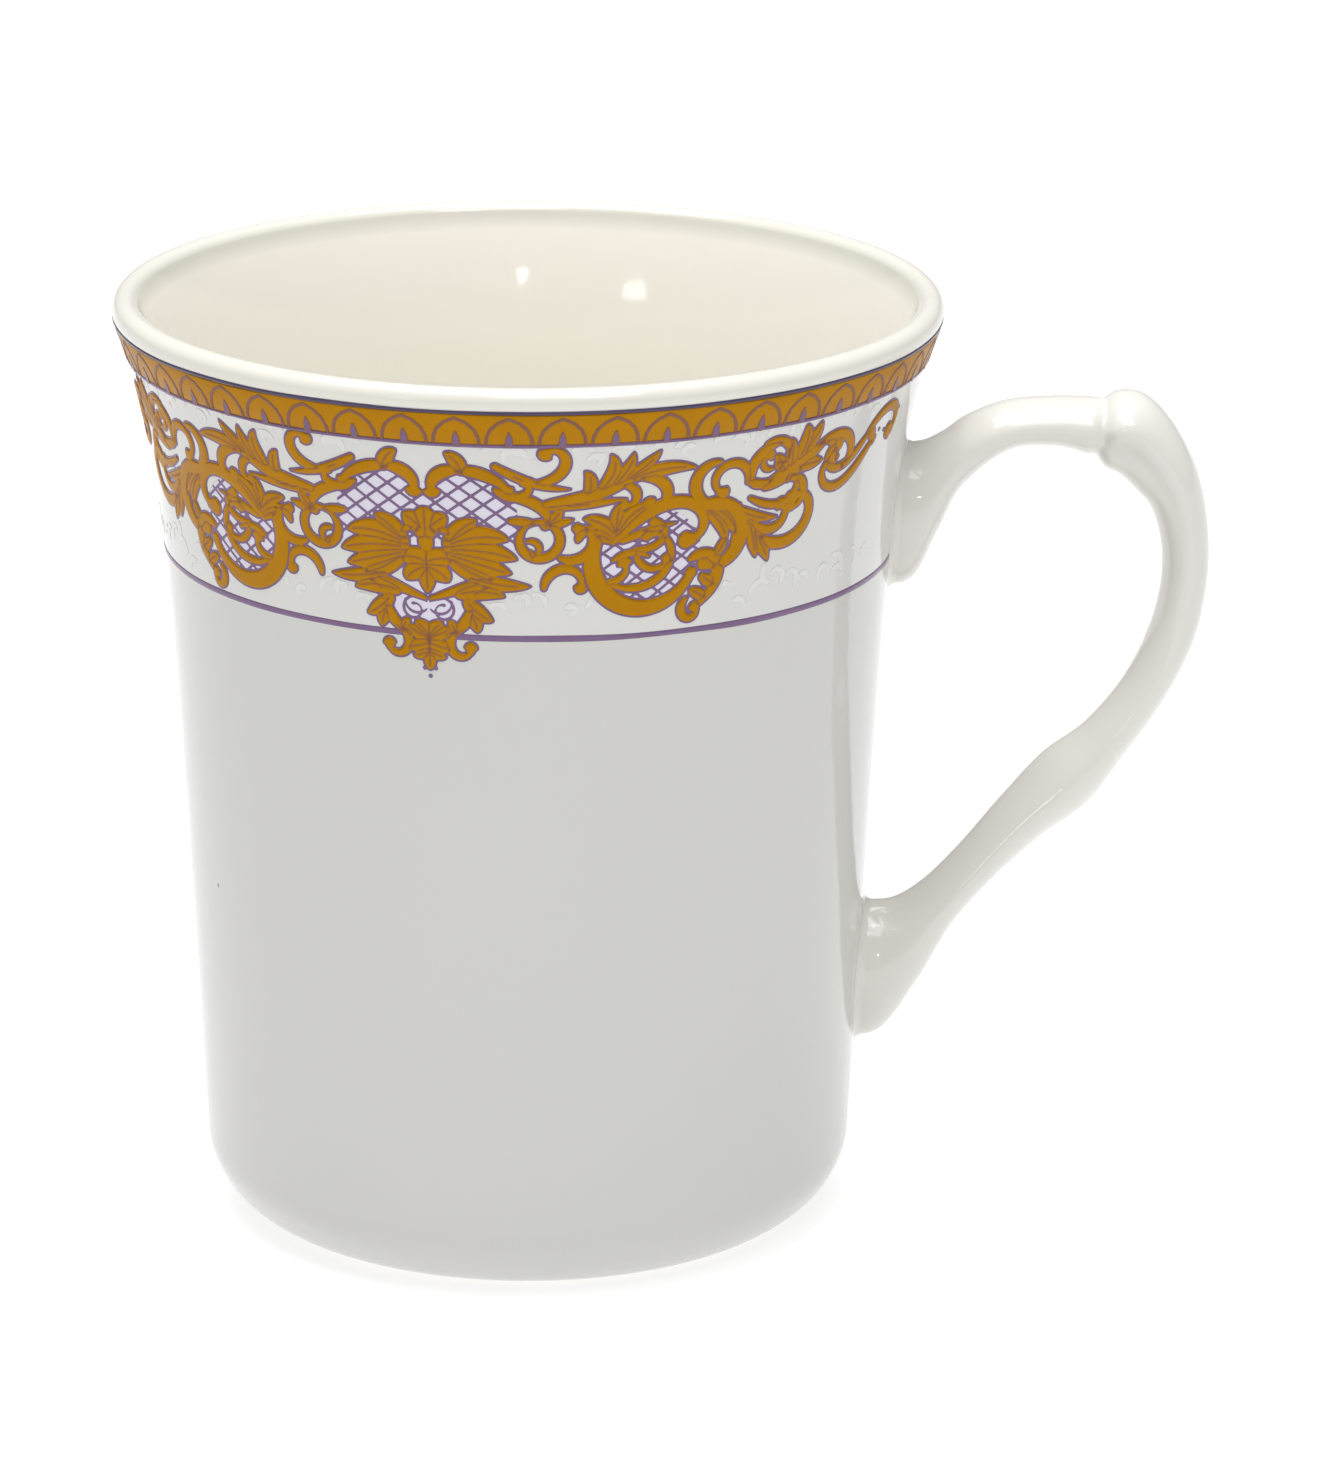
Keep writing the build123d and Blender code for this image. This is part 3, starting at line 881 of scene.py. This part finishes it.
# %% The five enamels
gold = enamel("gold_enamel", GOLD, DEEP_GOLD, 0.35, 0.30, 0.1)
lilac = enamel("lilac_enamel", LILAC, DEEP_LILAC, 0.0, 0.16)
ink = enamel("ink_enamel", INK, DEEP_INK, 0.0, 0.16)
wash = enamel("pale_wash_enamel", PALE_WASH, MID_WASH, 0.0, 0.10)
raised_white = enamel("white_enamel", BRIGHT, RAISED_WHITE, 0.0, 0.10, 0.5)
print("enamels:", ", ".join(m.name for m in (gold, lilac, ink, wash, raised_white)))

# %% [markdown]
# The gold pieces: each ornament is drawn on its own sheet and cut out once, then wrapped four
# times, at the front and the back and to the left and the right. The palmette has both its halves
# already, so it is wrapped twice. A piece stands up a little more or less than its neighbour, as
# one brush load does.

# %% The sheets of the ornaments
CUSHION = 0.10  # height of a stroke's dome
CUSHION_EDGE = 0.28  # how far in from its edge the dome rises
ENGRAVED = 0.035  # depth of the drawn lines
FRONT, BACK = -15.0, 180.0
SHEETS = {
    "palmette": (Sheet(-13, 13, -5, 20), PALMETTE, 0.060),
    "leaf_spray": (Sheet(5, 30, 2, 20), MIDDLE + SPRAY, 0.045),
    "medallion": (Sheet(12, 36, 0, 15), MEDALLION, 0.055),
    "leaf_scroll": (Sheet(27, 42, 4, 16), LEAF, 0.040),
    "tail_scroll": (Sheet(22, 54, 7, 21), TAIL, 0.050),
}


# %% A gold cushion with drawn lines
def add_lines(piece, values):
    """Stores the drawn lines on a mesh, one value per point."""
    layer = piece.data.attributes.new("drawn_line", "FLOAT", "POINT")
    layer.data.foreach_set("value", values.astype(np.float32))


def gold_solid(sheet, lift):
    cut = Cutout(sheet, -sheet.near)
    dome = np.clip(-cut.pick(sheet.near) / CUSHION_EDGE, 0, 1)
    dome = np.sqrt(1 - (1 - dome) ** 2)
    seam = swell(cut.pick(sheet.second) - cut.pick(sheet.near), 0, 0.13)
    vein = swell(cut.pick(sheet.vein), 0, 0.10)
    line = np.maximum(seam, 0.8 * vein) * np.clip(dome * 1.6 - 0.6, 0, 1)
    flat, faces = cut.solid(lift + CUSHION * dome - ENGRAVED * line)
    return flat, faces, np.concatenate([line, np.zeros(len(line))])


# %% The gold ornaments
for ornament, (sheet, strokes, lift) in SHEETS.items():
    sheet.draw(strokes, both_sides=ornament == "palmette")
    flat, faces, line = gold_solid(sheet, lift)
    for place, azimuth in (("front", FRONT), ("back", BACK)):
        for hand, side in (("left_", -1), ("right_", 1)):
            if ornament == "palmette":
                if side < 0:
                    continue
                hand = ""
            node = f"{place}_{hand}{ornament}"
            piece = new_piece(
                node + "_gold",
                wrapped(flat, azimuth, side),
                turned_over(faces, side),
                gold,
                "gold_enamel",
                [node],
            )
            add_lines(piece, line)
    print(ornament, "strokes", len(strokes), "points", len(flat))

# %% [markdown]
# Under the gold lies the lilac: a fine outline that shows all round each gold shape, and the
# lattice in the palmette and the medallion, on a pale wash. In the free ground above and below the
# gold the painter sets small white curls on white, which only catch the light. Each of the three
# is one thin skin per repeat.

# %% Sizes of the underdrawing
OUTLINE = 0.18
UNDER_GOLD = 0.2  # how far each skin runs in under the gold
CLEAR_OF_GOLD = 0.4  # how far the white curls stay away from it
LATTICE_LINE = 0.13  # half the width of a lattice line
LATTICE_WIDE, LATTICE_TALL = 1.1, 0.85  # half of one diamond
DOTS = ((0.55, -3.3, 0.22), (0.0, -4.1, 0.22))
SPIRALS = (
    (scroll, 0.15, 3.4, 52, 7.2, -430, 0.3, 0.18, 0.10),
    (scroll, 0.15, 2.7, -50, 3.0, 150, 0.1, 0.18, 0.10),
)
TAIL_DOTS = (
    (37.1, 12.1, 0.20), (36.8, 11.4, 0.20), (36.1, 10.8, 0.20), (35.3, 10.3, 0.20),
    (48.5, 16.0, 0.24), (49.6, 15.7, 0.24), (50.7, 15.9, 0.24),
    (51.8, 16.4, 0.20), (52.4, 17.3, 0.20),
)


# %% The lattice
def lattice(xs, ys):
    """Distance to the nearest lattice line, and how deep inside the latticed parts a point is."""
    gx, gy = np.meshgrid(xs, ys, indexing="ij")
    lines = [np.abs((gx / LATTICE_WIDE + s * gy / LATTICE_TALL) % 2 - 1) for s in (1, -1)]
    gap = np.minimum(*lines) * LATTICE_WIDE * LATTICE_TALL
    gap /= math.hypot(LATTICE_WIDE, LATTICE_TALL)
    roof = 16.8 - 0.11 * (np.abs(gx) - 3.3) ** 2
    arch = np.minimum(8.6 - np.abs(gx), np.minimum(gy - 9, roof - gy))
    disc = 5.2 - np.hypot(np.abs(gx) - 21.0, gy - 7.6)
    inside = np.maximum(arch, disc)
    cartouche = np.minimum(3.4 - np.abs(gx), np.minimum(gy - 1.0, 5.4 - gy))
    return np.where(inside > 0, gap, FAR), np.maximum(inside, cartouche)


# %% Outline, spirals and dots
WHOLE_REPEAT = (-54, 54, -5.5, 20)
under = Sheet(*WHOLE_REPEAT)
for _, strokes, _ in SHEETS.values():
    under.draw(strokes, both_sides=True)
pen = Sheet(*WHOLE_REPEAT)
pen.draw(SPIRALS, both_sides=True)
for x, y, radius in DOTS + TAIL_DOTS:
    gx, gy = under.xs[:, None], under.ys[None, :]
    pen.near = np.minimum(pen.near, np.hypot(np.abs(gx) - x, gy - y) - radius)
edge = np.minimum(OUTLINE - under.near, under.near + UNDER_GOLD)

# %% White curls
relief = Sheet(*WHOLE_REPEAT)
rng = np.random.default_rng(11)
CURL_STEP = 1.9  # from one white curl to the next
CURL_ROWS = (2.8, 18.6)
for x in np.arange(5.5, 50, CURL_STEP):
    for y in CURL_ROWS:
        y += rng.uniform(-0.7, 0.7)
        turn = rng.choice((-1, 1)) * rng.uniform(90, 220)
        curl = (scroll, x, y, rng.uniform(20, 160), rng.uniform(1.6, 3.0), turn, 0.3, 0.42, 0.16)
        relief.draw([curl], both_sides=True)

# %% The three skins
gap, inside = lattice(under.xs, under.ys)
drawn = np.maximum(LATTICE_LINE - gap, -pen.near)
outside_gold = under.near + UNDER_GOLD
lines = np.maximum(edge, np.minimum(drawn, outside_gold))
curls = np.minimum(-relief.near, under.near - CLEAR_OF_GOLD)
skins = (
    ("frieze_lilac", lines, 0.045, lilac, "lilac_enamel"),
    ("lattice_wash", np.minimum(inside, outside_gold), 0.020, wash, "lilac_enamel"),
    ("white_relief", curls, 0.035, raised_white, "white_glazed_china"),
)
for kind, value, thickness, material, slot in skins:
    cut = Cutout(under, value)
    flat, faces = cut.solid(np.full(len(cut.x), thickness))
    for place, azimuth in (("front", FRONT), ("back", BACK)):
        new_piece(f"{place}_{kind}", wrapped(flat, azimuth), faces, material, slot)
    print(kind, len(flat), "points")

# %% [markdown]
# ## The rim band and the ring
# Bands are painted on a turntable: the cup turns and the brush stands still, so a band is almost
# perfectly round, with edges that waver by a few hundredths of a millimetre.

# %% One painted band
BAND_SEGMENTS = 360
WAVER = 0.012  # of each of the waves that make an edge waver


def painted_band(name, low, high, out, material, slot, seed, tilt=0.0, start=0.0, end=360.0):
    """A band of enamel between two heights, all round or between two azimuths."""
    closed = end - start >= 360
    count = BAND_SEGMENTS if closed else BAND_SEGMENTS + 1
    turns = np.radians(np.linspace(start, end, count, endpoint=not closed))
    phases = np.random.default_rng(seed).uniform(0, 2 * math.pi, (2, 5))
    waver = [
        sum(np.sin(turns * (k + 2) * 3 + p) for k, p in enumerate(row)) * WAVER for row in phases
    ]
    middle, half = (low + high) / 2, (high - low) / 2
    soft = min(0.15, half / 2)
    shape = [(-half, -SUNK), (-half, 0.3 * out), (-half + soft, out)]
    shape += [(half - soft, out), (half, 0.3 * out), (half, -SUNK)]
    rings = []
    for t, w_low, w_high in zip(turns, *waver):
        for up, off in shape:
            z = middle + up + (w_low if up < 0 else w_high) - tilt * math.sin(t)
            n = wall_normal(z)
            r = wall_radius(z) + off * n[0]
            rings.append((r * math.sin(t), -r * math.cos(t), z + off * n[1]))
    faces = tube_faces(count, len(shape), closed_ring=closed)
    if not closed:
        faces += [tuple(reversed(range(len(shape))))]
        faces += [tuple(range((count - 1) * len(shape), count * len(shape)))]
    return new_piece(name + "_enamel", rings, faces, material, slot, [name])


# %% The rim band, its lines and the ring
def node_heights(node):
    low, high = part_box(node)
    return low.z / MM, high.z / MM


band_low, band_high = node_heights("rim_gold_band")
painted_band("rim_gold_band", band_low, band_high, 0.11, gold, "gold_enamel", 1)
painted_band("rim_upper_line", *node_heights("rim_upper_line"), 0.13, ink, "lilac_enamel", 2)
painted_band("rim_lower_line", *node_heights("rim_lower_line"), 0.13, lilac, "lilac_enamel", 4)
ring_low, ring_high = node_heights("body_ring")
HANDLE_FOOT = 9.5  # half the angle that the handle's foot takes of the ring
painted_band(
    "body_ring",
    ring_low + 0.05,
    ring_high - 0.05,
    0.05,
    lilac,
    "lilac_enamel",
    5,
    tilt=0.25,
    start=90 + HANDLE_FOOT,
    end=450 - HANDLE_FOOT,
)
print("band:", round(band_low, 2), "to", round(band_high, 2), "mm high")

# %% [markdown]
# Fifty arches run round the band, each with a small lilac lancet in it. One is drawn on a sheet
# and turned into the rest.

# %% One arch and its lancet
ARCHES = 50
FIRST_ARCH = -2.6
ARCH_LINE = 0.15
foot = band_low - RING_Z
tile = Sheet(-2.8, 2.8, foot - 0.5, foot + 3.6)
arch_line = np.array([(-2.0, 0.15), (-1.92, 0.8), (-1.6, 1.6), (-0.95, 2.3), (0, 2.78)])
arch_line[:, 1] += foot
for mirror in (1, -1):
    tile.lay(arch_line * (mirror, 1), np.full(len(arch_line), ARCH_LINE), False)
arch_only = tile.near.copy()
lancet = np.array([(0, 0.1), (0, 0.7), (0, 1.35)]) + (0, foot)
tile.lay(lancet, np.array([0.36, 0.31, 0.10]), False)
cut = Cutout(tile, -tile.near)
brown = (cut.pick(arch_only) < 0.1) | (cut.pick(tile.near) > -0.10)
flat, faces = cut.solid(np.full(len(cut.x), 0.16))

# %% All the arches
all_points, all_faces = [], []
for i in range(ARCHES):
    all_faces += [[k + i * len(flat) for k in face] for face in faces]
    all_points.append(wrapped(flat, FIRST_ARCH + 360 / ARCHES * i))
arches = new_piece(
    "rim_arches_enamel", np.vstack(all_points), all_faces, lilac, "lilac_enamel", ["rim_arches"]
)
add_lines(arches, np.tile(np.concatenate([brown, brown]), ARCHES))
print("arches:", ARCHES, "each", len(flat), "points")

# %% [markdown]
# ## The studio
# A white table in a plain pale room, lit by two broad soft panels, one over the cup and one high
# in front of it. A glossy cup shows its surroundings, so three small windows, two of them low and
# one high on the right, make the bright spots inside the cup and on the handle.

# %% The table
material, start, shader = new_material(
    "white_table",
    {"Roughness": 0.6, "Emission Strength": 0.70, "Emission Color": colour(1, 1, 1)},
)
place = start.add("ShaderNodeTexCoord", take=3)
tone = noise(start, place, 3.0)
TABLE_GREY, TABLE_PALE = colour(0.39, 0.39, 0.39), colour(0.42, 0.42, 0.42)
feed(shader, {"Base Color": mixed(start, tone, TABLE_GREY, TABLE_PALE)})
mesh = bpy.data.meshes.new("table_top")
TABLE_HALF = 4.0
corners = [(x * TABLE_HALF, y * TABLE_HALF, 0) for x, y in ((-1, -1), (1, -1), (1, 1), (-1, 1))]
mesh.from_pydata(corners, [], [(0, 1, 2, 3)])
mesh.materials.append(material)
floor = bpy.data.objects.new("table_top", mesh)
scene.collection.objects.link(floor)

# %% The room
CUP = Vector((0, 0, 0.05))
LIGHT_DISTANCE = 1.3
world = bpy.data.worlds.new("room")
world.use_nodes = True
background = world.node_tree.nodes["Background"].inputs
background["Color"].default_value = colour(1, 1, 1)
background["Strength"].default_value = 0.36
scene.world = world


# %% The lights
def panel(name, place, width, height, power):
    """A soft light: a glowing rectangle turned towards the cup."""
    light = bpy.data.lights.new(name, "AREA")
    light.shape = "RECTANGLE"
    light.size, light.size_y = width, height
    light.energy = power
    obj = bpy.data.objects.new(name, light)
    obj.location = place
    obj.rotation_euler = (CUP - Vector(place)).to_track_quat("-Z", "Y").to_euler()
    scene.collection.objects.link(obj)


def seen_from_cup(azimuth, elevation, distance):
    """A place given by its direction from the cup: azimuth from -Y towards +X, in degrees."""
    a, e = math.radians(azimuth), math.radians(elevation)
    across = distance * math.cos(e)
    return (across * math.sin(a), -across * math.cos(a), CUP.z + distance * math.sin(e))


panel("top_panel", (-0.1, 0.05, 1.2), 1.0, 1.0, 17)
panel("front_panel", seen_from_cup(14, 58, LIGHT_DISTANCE), 0.7, 0.5, 3.6)
for name, azimuth, elevation, wide, tall, watts in (
    ("window_near", 2, 18, 0.05, 0.04, 0.18),
    ("window_left", -35, 15, 0.16, 0.08, 0.26),
    ("window_right", 24, 47, 0.22, 0.12, 0.80),
):
    panel(name, seen_from_cup(azimuth, elevation, LIGHT_DISTANCE), wide, tall, watts)
